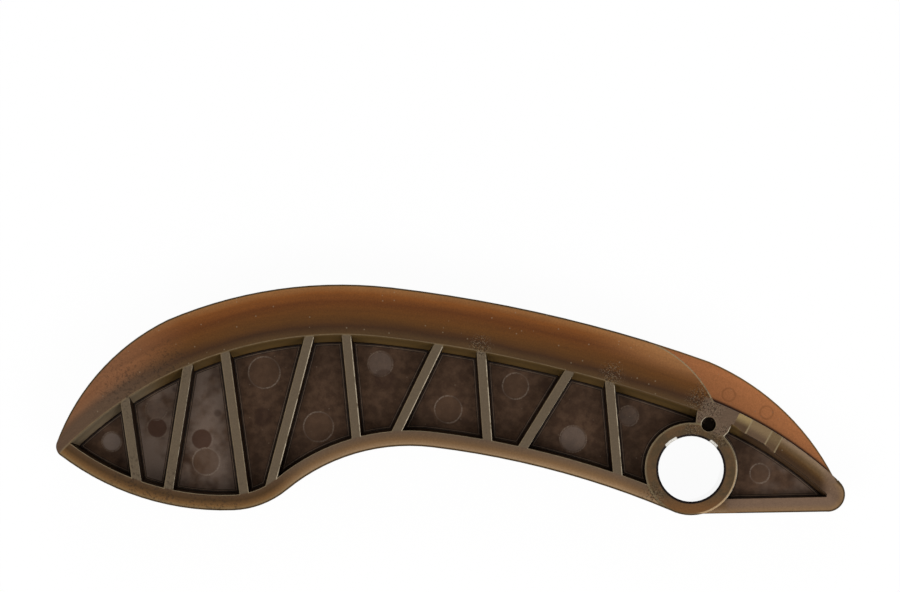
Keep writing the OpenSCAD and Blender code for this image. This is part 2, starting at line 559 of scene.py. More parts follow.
    def dots(self, vector: Socket, scale: float, size: float, share: float) -> Socket:
        """Returns a mask of scattered small dots.

        Args:
            vector: Place, in mm.
            scale: Cells per mm.
            size: Radius of a dot, as a share of its cell.
            share: Share of the cells that hold a dot.

        Returns:
            The mask.
        """
        node = self.add("ShaderNodeTexVoronoi", feature="F1")
        self.feed(node.inputs["Vector"], vector)
        node.inputs["Scale"].default_value = scale
        chance, _, _ = self.split(node.outputs["Color"])
        held = self.number("LESS_THAN", chance, share)
        return self.times(self.rise(node.outputs["Distance"], size, size * 0.4), held)

    def place(self) -> Socket:
        """Reads the place on the piece.

        Returns:
            The object's own coordinates, in mm.
        """
        where = self.add("ShaderNodeTexCoord")
        scaled = self.add("ShaderNodeVectorMath", operation="SCALE")
        self.feed(scaled.inputs[0], where.outputs["Object"])
        scaled.inputs["Scale"].default_value = 1 / MM
        return scaled.outputs[0]

    def split(self, vector: Socket) -> tuple[Socket, Socket, Socket]:
        """Takes a vector or colour apart.

        Args:
            vector: The vector or colour.

        Returns:
            Its three parts.
        """
        node = self.add("ShaderNodeSeparateXYZ")
        self.feed(node.inputs[0], vector)
        return node.outputs[0], node.outputs[1], node.outputs[2]

    def join(self, x: Feed, y: Feed, z: Feed = 0.0) -> Socket:
        """Puts a vector together.

        Args:
            x: First part.
            y: Second part.
            z: Third part.

        Returns:
            The vector.
        """
        node = self.add("ShaderNodeCombineXYZ")
        for target, value in zip(node.inputs, (x, y, z)):
            self.feed(target, value)
        return node.outputs[0]

    def reach(self, plan: Socket, x: float, y: float) -> Socket:
        """Measures the distance in plan from a point.

        Args:
            plan: Place in plan.
            x: The point's place along the rail.
            y: The point's place towards the chain.

        Returns:
            The distance, in mm.
        """
        node = self.add("ShaderNodeVectorMath", operation="DISTANCE")
        self.feed(node.inputs[0], plan)
        node.inputs[1].default_value = (x, y, 0.0)
        return node.outputs["Value"]

    def disc(self, plan: Socket, patch: Patch) -> Socket:
        """Returns a round mask in plan with a soft rim."""
        half = patch.soft / 2
        return self.rise(self.reach(plan, patch.x, patch.y), patch.r + half, patch.r - half)


class SharedGroups:
    """Shader groups that more than one finish uses."""

    def __init__(self, lines: RailLines) -> None:
        """Builds the groups.

        Args:
            lines: The rail's lines.
        """
        self.lines = lines
        self.heights = self._heights()
        self.grain = self._grain()

    @staticmethod
    def _new(name: str, inputs: dict[str, float], outputs: list[str],
             ) -> tuple[bpy.types.NodeTree, NodeSheet, bpy.types.Node, bpy.types.Node]:
        """Starts a group with number sockets.

        Args:
            name: Name of the group.
            inputs: Input names and their usual values.
            outputs: Output names.

        Returns:
            The group, its sheet, its input node and its output node.
        """
        group = bpy.data.node_groups.new(name, "ShaderNodeTree")
        for label, value in inputs.items():
            made = group.interface.new_socket(name=label, in_out="INPUT", socket_type="NodeSocketFloat")
            made.default_value = value
        for label in outputs:
            group.interface.new_socket(name=label, in_out="OUTPUT", socket_type="NodeSocketFloat")
        sheet = NodeSheet(group)
        return group, sheet, sheet.add("NodeGroupInput"), sheet.add("NodeGroupOutput")

    def _heights(self) -> bpy.types.NodeTree:
        """Builds the group that measures heights and distances from the rail's outlines.

        Returns:
            The group.
        """
        group, s, _, out = self._new("rail_heights", {}, ["Up", "Low", "Crest", "Front", "Streak", "Glint"])
        k = self.lines
        x, y, z = s.split(s.place())
        plan = s.join(x, y)

        def outside(arc: Arc) -> Socket:
            """Returns the distance outside an arc."""
            return s.number("SUBTRACT", s.reach(plan, arc.x, arc.y), arc.r)

        def within(arc: Arc) -> Socket:
            """Returns the distance inside an arc."""
            return s.number("SUBTRACT", arc.r, s.reach(plan, arc.x, arc.y))

        up = s.pick(x, outside(k.crown), outside(k.run), k.run_from_x)
        up = s.pick(x, up, outside(k.tail), k.tail_from_x)
        far = k.width
        heel = s.pick(y, within(k.heel), far, k.heel.y)
        boss = s.pick(y, within(k.boss), far, k.boss.y)
        low = s.pick(x, within(k.toe), heel, k.heel_from_x)
        low = s.pick(x, low, outside(k.arch), k.arch_from_x)
        low = s.pick(x, low, outside(k.strut), k.strut_from_x)
        low = s.pick(x, low, boss, k.boss_from_x)
        bar = s.number("ADD", s.number("SUBTRACT", y, s.number("MULTIPLY", x, k.tail_bar_rise)), k.boss.r)
        low = s.pick(x, low, bar, k.tail_bar_from_x)
        low = s.pick(x, low, s.pick(y, within(k.tip), far, k.tip.y + 2.0), k.tip.x)
        top = s.number("SUBTRACT", k.lip, up)
        crest = s.pick(x, s.number("MINIMUM", top, within(k.nose_lip)), top, k.nose_lip_to_x)
        crest = s.pick(x, crest, s.number("MINIMUM", top, within(k.tail_lip)), k.tail_lip_from_x)
        along = s.join(s.number("MULTIPLY", x, 0.05), up, s.number("MULTIPLY", z, 0.4))
        s.feed(out.inputs["Up"], up)
        s.feed(out.inputs["Low"], low)
        s.feed(out.inputs["Crest"], crest)
        s.feed(out.inputs["Front"], outside(k.front_lip))
        s.feed(out.inputs["Streak"], s.noise(along, 0.9, 4.0, 0.6))
        s.feed(out.inputs["Glint"], self._chamfer_glint(s, plan, z))
        return group

    def _chamfer_glint(self, s: NodeSheet, plan: Socket, z: Socket) -> Socket:
        """Gives the mask of the two painted highlights, glints of the lamps, on the front rim of the bore.

        Args:
            s: The group's sheet.
            plan: Place in plan.
            z: Level.

        Returns:
            The mask.
        """
        x, y, _ = s.split(plan)
        spots = []
        for angle, half in self.lines.glint_spots:
            turn = math.radians(angle)
            along = s.number("ADD", s.number("MULTIPLY", x, -math.sin(turn)),
                             s.number("MULTIPLY", y, math.cos(turn)))
            spots.append(s.rise(s.number("ABSOLUTE", along), half, half - 0.2))
        bore = self.lines.bore
        ring = s.disc(plan, Patch(bore.x, bore.y, bore.r + self.lines.glint_reach, 0.12))
        front = s.rise(z, self.lines.middle, self.lines.middle + 1.0)
        return s.times(s.most(*spots), ring, s.rise(y, 0.0, 1.0), front)

    def _grain(self) -> bpy.types.NodeTree:
        """Builds the group with the fine grain, the specks and the clouds of the moulded surface.

        Returns:
            The group.
        """
        group, s, given, out = self._new("mould_grain", {"Size": 1.0}, ["Grain", "Specks", "Blotch", "Cloud"])
        where = s.add("ShaderNodeVectorMath", operation="SCALE")
        s.feed(where.inputs[0], s.place())
        s.feed(where.inputs["Scale"], given.outputs["Size"])
        spot = where.outputs[0]
        s.feed(out.inputs["Grain"], s.noise(spot, 3.4, 4.0, 0.7))
        s.feed(out.inputs["Specks"], s.dots(spot, 0.9, 0.16, 0.22))
        s.feed(out.inputs["Blotch"], s.noise(spot, 0.62, 4.0, 0.62))
        s.feed(out.inputs["Cloud"], s.noise(spot, 0.14, 3.0, 0.6))
        return group


@dataclass(frozen=True)
class Finish:
    """What all finishes of the part share."""

    name: str
    roughness: tuple[float, float]
    bump: float
    specular: float
    veil: float

    def start(self, groups: SharedGroups,
              ) -> tuple[bpy.types.Material, NodeSheet, bpy.types.Node, Outputs, Outputs]:
        """Starts the material with its shared groups in place.

        Args:
            groups: The shared shader groups.

        Returns:
            The material, its sheet, its Principled node, and the outputs of the heights and grain groups.
        """
        made = bpy.data.materials.new(self.name)
        made.use_nodes = True
        sheet = NodeSheet(made.node_tree, self.veil)
        shader = made.node_tree.nodes["Principled BSDF"]
        shader.inputs["Specular IOR Level"].default_value = self.specular
        heights = sheet.add("ShaderNodeGroup", node_tree=groups.heights)
        grain = sheet.add("ShaderNodeGroup", node_tree=groups.grain)
        return made, sheet, shader, heights.outputs, grain.outputs

    def close(self, s: NodeSheet, shader: bpy.types.Node, colour: Socket, dull: Socket,
              height: Socket) -> None:
        """Wires the varying colour, roughness and bump into the shader.

        Args:
            s: The material's sheet.
            shader: The Principled node.
            colour: Colour over the surface.
            dull: Mask of the duller places.
            height: Height of the fine relief.
        """
        s.feed(shader.inputs["Base Color"], colour)
        low, high = self.roughness
        s.feed(shader.inputs["Roughness"], s.number("ADD", s.number("MULTIPLY", dull, high - low), low))
        bump = s.add("ShaderNodeBump")
        bump.inputs["Strength"].default_value = self.bump
        bump.inputs["Distance"].default_value = RELIEF
        s.feed(bump.inputs["Height"], height)
        s.feed(shader.inputs["Normal"], bump.outputs[0])


@dataclass(frozen=True)
class SkinFinish(Finish):
    """Amber-brown moulded skin of the faces, the lips and the outer edges, with light through the lips, highlights
    along edges and shade at the outer edges painted in.
    """

    # Lip ramp: the orange that lightens towards the crest is painted glow of light through the thin lips.
    crest_edge: Tone = Tone(132, 91, 54)
    crest: Tone = Tone(113, 68, 34)
    lip: Tone = Tone(90, 53, 24)
    lip_low: Tone = Tone(91, 57, 29)
    lip_foot: Tone = Tone(84, 55, 29)
    plate: Tone = Tone(61, 42, 26)
    plate_edge: Tone = Tone(74, 55, 36)
    nose: Tone = Tone(119, 81, 56)
    nose_foot: Tone = Tone(84, 66, 52)
    pivot: Tone = Tone(144, 102, 65)
    # Painted glow of light through the far lip.
    glow: Tone = Tone(176, 114, 72)
    rib: Tone = Tone(90, 78, 63)
    bar_edge: Tone = Tone(138, 114, 87)
    bar_low: Tone = Tone(122, 96, 69)
    bar: Tone = Tone(106, 81, 56)
    bar_mid: Tone = Tone(95, 74, 54)
    bar_top: Tone = Tone(87, 71, 57)
    toe_edge: Tone = Tone(118, 97, 68)
    toe_low: Tone = Tone(108, 79, 48)
    toe: Tone = Tone(91, 66, 41)
    toe_mid: Tone = Tone(70, 51, 32)
    toe_top: Tone = Tone(75, 57, 41)
    side: Tone = Tone(112, 84, 50)
    boss: Tone = Tone(74, 60, 43)
    boss_edge: Tone = Tone(102, 71, 43)
    boss_warm: Tone = Tone(85, 65, 45)
    # Painted highlight along the boss's outer rim, brighter to the lower right.
    boss_rim: Tone = Tone(104, 91, 68)
    boss_glint: Tone = Tone(172, 146, 112)
    # Painted highlight: the pale lamp glints on the bore's chamfer.
    chamfer_glint: Tone = Tone(202, 198, 190)
    # Painted shade: the dark ring round the bore's chamfer.
    chamfer_shade: Tone = Tone(34, 27, 20)
    bridge: Tone = Tone(92, 75, 61)
    tail_foot: Tone = Tone(66, 50, 36)
    tail_low: Tone = Tone(62, 44, 26)
    tail: Tone = Tone(75, 54, 32)
    tail_mid: Tone = Tone(98, 77, 53)
    tail_top: Tone = Tone(124, 103, 82)
    tail_bar: Tone = Tone(107, 86, 70)
    # Step facets, painted as lit and shaded copies of one tone, each lighter towards the slide face.
    step: Tone = Tone(76, 59, 43)
    step_glow: Tone = Tone(136, 116, 80)
    tread: Tone = Tone(88, 70, 54)
    tread_glow: Tone = Tone(118, 98, 72)
    step_low: Tone = Tone(84, 66, 48)
    step_low_glow: Tone = Tone(102, 84, 60)
    # Painted highlight along edges: the plate's edge, the run-out line and the step edges.
    line: Tone = Tone(130, 115, 88)
    # Painted shade along the rounded outer edges.
    outline: Tone = Tone(52, 44, 32)
    # Painted shade along the gap in front of the far lip; also the two faint rings on it.
    gap: Tone = Tone(56, 36, 22)
    pit: Tone = Tone(44, 36, 27)
    fleck: Tone = Tone(136, 122, 100)
    bar_span: float = 2.8
    bar_stops: tuple[float, ...] = (0.1, 0.28, 0.46, 0.64, 0.96)
    lip_stops: tuple[float, ...] = (0.0, 0.05, 0.17, 0.34, 0.5, 0.66, 0.83, 0.96)
    tail_stops: tuple[float, ...] = (0.0, 0.37, 0.54, 0.72, 0.92)
    toe_fade: tuple[float, float] = (-70.0, -78.0)
    strut_fades: tuple[tuple[float, float], ...] = ((-42.0, -22.0), (-8.0, -14.0))
    nose_fade: tuple[float, float] = (-90.0, -107.0)
    pivot_fade: tuple[float, float] = (-22.0, -1.0)
    glint_fade: tuple[float, float] = (6.0, 10.5)
    far_fades: tuple[tuple[float, float], ...] = ((6.0, 5.0), (-16.0, -6.0), (-0.6, -0.2))
    nose_end: float = -113.0

    def build(self, groups: SharedGroups) -> bpy.types.Material:
        """Builds the material.

        Args:
            groups: The shared shader groups.

        Returns:
            The material.
        """
        made, s, shader, heights, grain = self.start(groups)
        x, y, z = s.split(s.place())
        plan = s.join(x, y)
        k = groups.lines
        up, low = heights["Up"], heights["Low"]
        level = s.number("ABSOLUTE", s.number("SUBTRACT", z, k.middle))
        face = s.rise(level, k.middle - 1.0, k.middle - 0.3)
        colour = self._bars(s, x, low)
        colour = self._pivot_end(s, k, plan, face, heights, grain, colour)
        lips = self._lips(s, k, x, heights, grain)
        colour = s.blend(s.rise(up, -k.plate - 0.06, -k.plate + 0.06), colour, lips)
        front = s.rise(z, k.middle - 1.0, k.middle + 1.0)
        colour = self._tail_end(s, k, plan, front, heights, colour)
        colour = self._far_lip(s, plan, z, up, heights["Streak"], colour)
        colour = self._edges(s, k, x, z, heights, colour)
        colour = self._mottle(s, plan, face, up, grain, colour)
        colour = s.vary(colour, grain["Grain"], 0.8)
        self.close(s, shader, colour, grain["Cloud"], grain["Grain"])
        return made

    def _bars(self, s: NodeSheet, x: Socket, low: Socket) -> Socket:
        """Gives the colour of the ribs and the lower edge bars.

        Args:
            s: The material's sheet.
            x: Place along the rail.
            low: Distance from the lower edge.

        Returns:
            The colour.
        """
        across = s.number("DIVIDE", low, self.bar_span)
        bar, toe = (s.ramp(across, list(zip(self.bar_stops, tones))) for tones in (
            (self.bar_edge, self.bar_low, self.bar, self.bar_mid, self.bar_top),
            (self.toe_edge, self.toe_low, self.toe, self.toe_mid, self.toe_top)))
        strut = s.times(*(s.rise(x, *fade) for fade in self.strut_fades))
        bar = s.vary(bar, s.number("ADD", strut, 0.5), 0.16)
        bar = s.blend(s.rise(x, *self.toe_fade), bar, toe)
        return s.blend(s.rise(low, 3.0, 2.7), self.rib, bar)

    def _lips(self, s: NodeSheet, k: RailLines, x: Socket, heights: Outputs, grain: Outputs) -> Socket:
        """Gives the colour of the lips and the plate's front, with the amber glow of light through the thin lips
        painted in, lightest at the crest.

        Args:
            s: The material's sheet.
            k: The rail's lines.
            x: Place along the rail.
            heights: Outputs of the heights group.
            grain: Outputs of the grain group.

        Returns:
            The colour.
        """
        up = heights["Up"]
        span = s.number("DIVIDE", s.number("ADD", up, k.plate), k.lip + k.plate)
        wave = s.number("MULTIPLY", s.number("SUBTRACT", grain["Cloud"], 0.5), 0.1)
        colour = s.ramp(s.number("ADD", span, wave), list(zip(self.lip_stops, (
            self.plate_edge, self.plate_edge, self.plate, self.lip_foot,
            self.lip_low, self.lip, self.crest, self.crest_edge))))
        nose = s.blend(s.rise(up, 2.0, -1.0), self.nose, self.nose_foot)
        colour = s.blend(s.times(s.rise(x, *self.nose_fade), 0.9), colour, nose)
        pivot = s.times(s.rise(x, *self.pivot_fade), s.rise(up, 1.0, 5.5), 0.8)
        colour = s.blend(pivot, colour, self.pivot)
        return s.vary(colour, heights["Streak"], 0.6)

    def _pivot_end(self, s: NodeSheet, k: RailLines, plan: Socket, face: Socket, heights: Outputs,
                   grain: Outputs, colour: Socket) -> Socket:
        """Lays the boss and the bridge over the colour.

        Args:
            s: The material's sheet.
            k: The rail's lines.
            plan: Place in plan.
            face: Mask of the front and back faces.
            heights: Outputs of the heights group.
            grain: Outputs of the grain group.
            colour: Colour so far.

        Returns:
            The colour.
        """
        out = s.reach(plan, k.boss.x, k.boss.y)
        x, y, _ = s.split(plan)
        boss = s.blend(s.rise(grain["Blotch"], 0.42, 0.6), self.boss, self.boss_warm)
        boss = s.blend(s.rise(y, -4.5, -7.8), boss, self.boss_edge)
        # A painted highlight along the boss's outer rim, pale all round and brighter to the lower right.
        lit = s.rise(s.number("SUBTRACT", x, y), *self.glint_fade)
        rim = s.blend(lit, self.boss_rim, self.boss_glint)
        boss = s.blend(s.times(s.band(out, k.boss.r - 0.15, 0.3), face, 0.8), boss, rim)
        # A dark ring painted round the bore's chamfer as shade.
        boss = s.blend(s.rise(out, k.bore.r + 0.46, k.bore.r + 0.34), boss, self.chamfer_shade)
        # The two painted lamp glints on the bore's front rim.
        boss = s.blend(heights["Glint"], boss, self.chamfer_glint)
        colour = s.blend(s.disc(plan, BRIDGE_FACE), colour, self.bridge)
        return s.blend(s.rise(out, k.boss.r + 0.26, k.boss.r + 0.12), colour, boss)

    def _tail_end(self, s: NodeSheet, k: RailLines, plan: Socket, front: Socket, heights: Outputs,
                  colour: Socket) -> Socket:
        """Lays the stepped tail over the colour.

        Args:
            s: The material's sheet.
            k: The rail's lines.
            plan: Place in plan.
            front: Mask of the front half.
            heights: Outputs of the heights group.
            colour: Colour so far.

        Returns:
            The colour.
        """
        x, y, _ = s.split(plan)
        up, low = heights["Up"], heights["Low"]
        (from_x, from_y), (way_x, way_y) = k.step_from, k.step_way
        run = s.number("ADD", s.number("MULTIPLY", s.number("SUBTRACT", x, from_x), way_x),
                       s.number("MULTIPLY", s.number("SUBTRACT", y, from_y), way_y))
        start, slope_end, tread_end, low_from = k.step_ends
        bridge = s.times(s.disc(plan, BRIDGE_PLATE), s.rise(up, 0.6, 0.0))
        colour = s.blend(bridge, colour, self.bridge)
        # The step facets are painted as lit and shaded copies of one tone, each lighter towards the slide face, with
        # painted highlights along the step edges.
        slope = s.blend(s.rise(up, -2.0, -0.4), self.step, self.step_glow)
        root = k.plate + k.plate_root
        band = s.ramp(s.number("DIVIDE", s.number("ADD", up, root), root), list(zip(self.tail_stops, (
            self.tail_foot, self.tail_low, self.tail, self.tail_mid, self.tail_top))))
        band = s.vary(band, heights["Streak"], 0.7)
        tread = s.blend(s.rise(up, -2.4, -0.9), self.tread, self.tread_glow)
        step_low = s.blend(s.rise(up, -2.6, -1.0), self.step_low, self.step_low_glow)
        steps = slope
        for end, after in ((slope_end, tread), (tread_end, step_low), (low_from, band)):
            steps = s.blend(s.rise(run, end - 0.1, end + 0.1), steps, after)
        corner = s.most(*(s.band(run, end, half) for end, half in (
            (slope_end, 0.22), (tread_end, 0.22), (low_from, 0.2))))
        steps = s.blend(s.times(corner, 0.75), steps, self.line)
        plate = s.times(s.rise(up, -root - 0.3, -root), s.rise(up, 0.4, 0.2))
        colour = s.blend(s.times(s.rise(run, start - 0.1, start + 0.1), plate, front), colour, steps)
        bar = s.blend(s.rise(low, 1.6, 0.3), self.tail_bar, self.bar_low)
        under = s.rise(up, -k.plate - 0.1, -k.plate - 0.9)
        colour = s.blend(s.times(s.rise(x, 6.0, 7.5), under, s.rise(low, 3.6, 2.9)), colour, bar)
        return s.blend(s.times(s.rise(x, 23.5, 26.0), 0.8), colour, bar)

    def _far_lip(self, s: NodeSheet, plan: Socket, z: Socket, up: Socket, streak: Socket,
                 colour: Socket) -> Socket:
        """Lays the painted glow of light through the far lip over the colour, with a painted shade line along the gap
        in front of it.

        Args:
            s: The material's sheet.
            plan: Place in plan.
            z: Level.
            up: Height over the slide face.
            streak: Lengthwise streaks.
            colour: Colour so far.

        Returns:
            The colour.
        """
        x, _, _ = s.split(plan)
        behind = s.times(*(s.rise(place, *fade) for place, fade in zip((z, x, up), self.far_fades)))
        glow = s.vary(self._plain(s, self.glow), streak, 0.3)
        rings = s.most(*(s.band(s.reach(plan, ring.x, ring.y), ring.r, 0.25) for ring in LIP_RINGS))
        glow = s.blend(s.times(rings, s.rise(z, 0.3, 0.8), 0.22), glow, self.gap)
        # The glow is painted light through the far lip; the gap line in front of it is painted shade.
        return s.blend(behind, colour, s.blend(s.rise(up, 0.75, 0.2), glow, self.gap))

    @staticmethod
    def _plain(s: NodeSheet, tone: Tone) -> Socket:
        """Returns a tone as a colour socket that other nodes vary."""
        return s.blend(0.0, tone, tone)

    def _edges(self, s: NodeSheet, k: RailLines, x: Socket, z: Socket, heights: Outputs,
               colour: Socket) -> Socket:
        """Lays the painted highlights along the plate's edge and the front lip's run-out line, the side tone of the
        outer walls and the painted shade along the outer edges over the colour.

        Args:
            s: The material's sheet.
            k: The rail's lines.
            x: Place along the rail.
            z: Level.
            heights: Outputs of the heights group.
            colour: Colour so far.

        Returns:
            The colour.
        """
        up = heights["Up"]
        streak = heights["Streak"]
        # A painted highlight along the plate's edge and along the front lip's run-out line.
        seam = s.times(s.band(up, -k.plate + 0.05, 0.22), s.rise(x, 3.0, 0.0), s.rise(streak, 0.3, 0.6))
        colour = s.blend(s.times(seam, 0.35), colour, self.line)
        front = s.times(s.band(heights["Front"], -0.12, 0.2), s.rise(z, 13.0, 14.0), s.rise(x, -12.0, -6.0))
        colour = s.blend(s.times(front, s.rise(up, -0.5, 0.5), 0.8), colour, self.line)
        crest = s.times(s.rise(heights["Crest"], 0.4, 0.2), s.rise(up, -0.7, -0.3))
        rim = s.most(s.rise(heights["Low"], 0.4, 0.2), crest)
        level = s.number("ABSOLUTE", s.number("SUBTRACT", z, k.middle))
        nose = s.times(s.rise(x, self.nose_end + 0.5, self.nose_end - 0.5),
                       s.rise(level, k.middle - 0.4, k.middle - 0.8))
        tip = s.times(s.rise(x, k.tip.x + 0.8, k.tip.x + 1.3),
                      s.rise(z, k.tip_level - 0.4, k.tip_level - 0.7))
        rim = s.most(rim, nose, tip)
        tail = s.times(s.rise(x, 8.0, 9.0), s.band(z, k.tip_level, 0.6))
        face = s.most(s.rise(level, k.middle - 0.6, k.middle - 0.2), tail)
        # The outer walls take the side tone; a painted shade darkens the faces along the outer edges.
        colour = s.blend(rim, colour, s.vary(self._plain(s, self.side), streak, 0.5))
        return s.blend(s.times(rim, face, 0.85), colour, self.outline)

    def _mottle(self, s: NodeSheet, plan: Socket, face: Socket, up: Socket, grain: Outputs,
                colour: Socket) -> Socket:
        """Lays the pitted and flecked places over the colour.

        Args:
            s: The material's sheet.
            plan: Place in plan.
            face: Mask of the front and back faces.
            up: Height over the slide face.
            grain: Outputs of the grain group.
            colour: Colour so far.

        Returns:
            The mottled colour.
        """
        pitted, stippled = (
            s.times(s.most(*(s.disc(plan, patch) for patch in patches)), face)
            for patches in (PITS, STIPPLES))
        fine = s.place()
        colour = s.blend(s.times(pitted, s.dots(fine, 2.9, 0.55, 0.8), 0.85), colour, self.pit)
        colour = s.blend(s.times(pitted, s.dots(fine, 4.4, 0.48, 0.7), 0.45), colour, self.fleck)
        speckle = s.noise(fine, 2.2, 3.0, 0.7)
        colour = s.blend(s.times(stippled, s.rise(speckle, 0.5, 0.64), 0.55), colour, self.pit)
        return s.blend(s.times(grain["Specks"], s.rise(up, -3.0, -2.0), 0.4), colour, self.fleck)


@dataclass(frozen=True)
class FloorFinish(Finish):
    """Dark brown floors of the pockets between the ribs, under a cloudy grey sheen that is painted reflection."""

    floor: Tone = Tone(63, 45, 33)
    # The two lighter tones here are a painted sheen, reflection of light on the matte floor.
    sheen: Tone = Tone(82, 61, 46)
    grey_sheen: Tone = Tone(106, 90, 79)
    pad: Tone = Tone(124, 109, 99)
    stain: Tone = Tone(64, 42, 31)
    spot: Tone = Tone(48, 31, 23)
    # Painted highlight on the rims of the pressed rings.
    rim: Tone = Tone(132, 116, 102)
    speck: Tone = Tone(112, 96, 80)
    toe_fades: tuple[tuple[float, float], ...] = ((-82.0, -86.0), (-105.0, -101.0))
    tail_fade: tuple[float, float] = (10.0, 18.0)

    def build(self, groups: SharedGroups) -> bpy.types.Material:
        """Builds the material.

        Args:
            groups: The shared shader groups.

        Returns:
            The material.
        """
        made, s, shader, _, grain = self.start(groups)
        k = groups.lines
        x, y, z = s.split(s.place())
        plan = s.join(x, y)
        colour = s.blend(s.rise(grain["Blotch"], 0.36, 0.68), self.floor, self.sheen)
        greyer = s.most(s.times(*(s.rise(x, *fade) for fade in self.toe_fades)),
                        s.times(s.rise(x, *self.tail_fade), 0.7))
        colour = s.blend(s.times(greyer, s.rise(grain["Cloud"], 0.3, 0.56)), colour, self.grey_sheen)
        front = s.rise(z, k.middle, k.middle + 0.5)
        colour = s.blend(s.times(grain["Specks"], 0.5), colour, self.speck)
        for mark in MARKS:
            colour = self._mark(s, plan, front, grain["Grain"], colour, mark)
        colour = s.vary(colour, grain["Grain"], 0.4)
        self.close(s, shader, colour, grain["Cloud"], grain["Grain"])
        return made

    def _mark(self, s: NodeSheet, plan: Socket, front: Socket, grain: Socket, colour: Socket,
              mark: EjectorMark) -> Socket:
        """Lays one ejector mark over the colour.

        Args:
            s: The material's sheet.
            plan: Place in plan.
            front: Mask of the front side.
            grain: Fine grain, which breaks the rim.
            colour: Colour so far.
            mark: The mark.

        Returns:
            The colour with the mark.
        """
        inner, share, rim = {
            MarkKind.PAD: (self.pad, 0.7, 0.4), MarkKind.FAINT: (self.grey_sheen, 0.45, 0.25),
            MarkKind.STAIN: (self.stain, 0.85, 0.15), MarkKind.RING: (self.sheen, 0.5, 0.55),
            MarkKind.SPOT: (self.spot, 0.5, 0.0),
        }[mark.kind]
        soft = 0.6 if mark.kind is MarkKind.SPOT else 0.35
        disc = s.disc(plan, Patch(mark.x, mark.y, mark.r - soft / 2, soft))
        colour = s.blend(s.times(disc, front, share * mark.strength), colour, inner)
        if rim == 0.0:
            return colour
        x, y, _ = s.split(plan)
        # The ring's rim takes a painted highlight, brightest on its upper-left and lower-right sides.
        lean = s.number("SUBTRACT", s.number("SUBTRACT", y, mark.y), s.number("SUBTRACT", x, mark.x))
        lean = s.rise(s.number("ABSOLUTE", lean), 0.2 * mark.r, 1.4 * mark.r)
        lit = s.number("ADD", s.times(lean, s.rise(grain, 0.36, 0.6)), 0.25)
        ring = s.band(s.reach(plan, mark.x, mark.y), mark.r, 0.2)
        return s.blend(s.times(ring, front, lit, rim), colour, self.rim)


@dataclass(frozen=True)
class WallFinish(Finish):
    """Walls of the pockets and the line along their foot, painted near-black as shade."""

    wall: Tone = Tone(31, 22, 15)
    warm: Tone = Tone(45, 32, 22)

    def build(self, groups: SharedGroups) -> bpy.types.Material:
        """Builds the material.

        Args:
            groups: The shared shader groups.

        Returns:
            The material.
        """
        made, s, shader, _, grain = self.start(groups)
        colour = s.blend(s.rise(grain["Blotch"], 0.4, 0.65), self.wall, self.warm)
        colour = s.vary(colour, grain["Grain"], 0.5)
        self.close(s, shader, colour, grain["Cloud"], grain["Grain"])
        return made


@dataclass(frozen=True)
class UnderFinish(Finish):
    """Olive sloped underside of the plate, painted lighter as glow of light through the plate, with painted shade
    along its foot.
    """

    # Olive and nose are set lighter as painted glow of light through the plate.
    olive: Tone = Tone(100, 78, 46)
    nose: Tone = Tone(130, 114, 91)
    tail: Tone = Tone(74, 56, 40)
    foot: Tone = Tone(34, 24, 16)
    nose_fade: tuple[float, float] = (-95.0, -103.0)
    tail_fade: tuple[float, float] = (8.5, 10.0)

    def build(self, groups: SharedGroups) -> bpy.types.Material:
        """Builds the material.

        Args:
            groups: The shared shader groups.

        Returns:
            The material.
        """
        made, s, shader, heights, grain = self.start(groups)
        k = groups.lines
        x, _, _ = s.split(s.place())
        colour = s.blend(s.rise(x, *self.nose_fade), self.olive, self.nose)
        colour = s.blend(s.rise(x, *self.tail_fade), colour, self.tail)
        colour = s.vary(colour, heights["Streak"], 0.5)
        root = k.plate + k.plate_root
        # Painted light: lighter towards the foot against the shade of the pocket, then a painted shade line at the
        # very foot.
        shade = s.rise(heights["Up"], -root + 0.2, -k.plate - 0.2)
        colour = s.vary(colour, s.number("SUBTRACT", 1.0, shade), 0.5)
        colour = s.blend(s.rise(heights["Up"], -root + 0.2, -root + 0.1), colour, self.foot)
        colour = s.vary(colour, grain["Grain"], 0.4)
        self.close(s, shader, colour, grain["Cloud"], grain["Grain"])
        return made


@dataclass(frozen=True)
class EdgeFinish(Finish):
    """Pale pocket edges and the pale line at the pockets' foot, painted highlights of the rounded edges and the
    fillet.
    """

    edge: Tone = Tone(108, 94, 74)
    worn: Tone = Tone(108, 94, 74)
    seam: Tone = Tone(94, 78, 56)
    plain: Tone = Tone(72, 55, 37)
    foot: Tone = Tone(92, 75, 61)
    plain_fade: tuple[float, float] = (-18.0, -10.0)

    def build(self, groups: SharedGroups) -> bpy.types.Material:
        """Builds the material.

        Args:
            groups: The shared shader groups.

        Returns:
            The material.
        """
        made, s, shader, heights, grain = self.start(groups)
        k = groups.lines
        x, _, z = s.split(s.place())
        away = s.number("ABSOLUTE", s.number("SUBTRACT", z, k.middle))
        seam = s.blend(s.rise(x, *self.plain_fade), self.seam, self.plain)
        edge = s.blend(s.rise(grain["Blotch"], 0.32, 0.52), self.edge, self.worn)
        # A painted highlight along the plate's edge, dimmer to the right, and a pale painted highlight of the fillet
        # at the pocket's foot.
        edge = s.blend(s.rise(heights["Up"], -k.plate - 0.4, -k.plate - 0.25), edge, seam)
        colour = s.blend(s.rise(away, k.web, k.middle - 1.0), self.foot, edge)
        colour = s.vary(colour, grain["Blotch"], 1.2)
        self.close(s, shader, colour, grain["Cloud"], grain["Grain"])
        return made


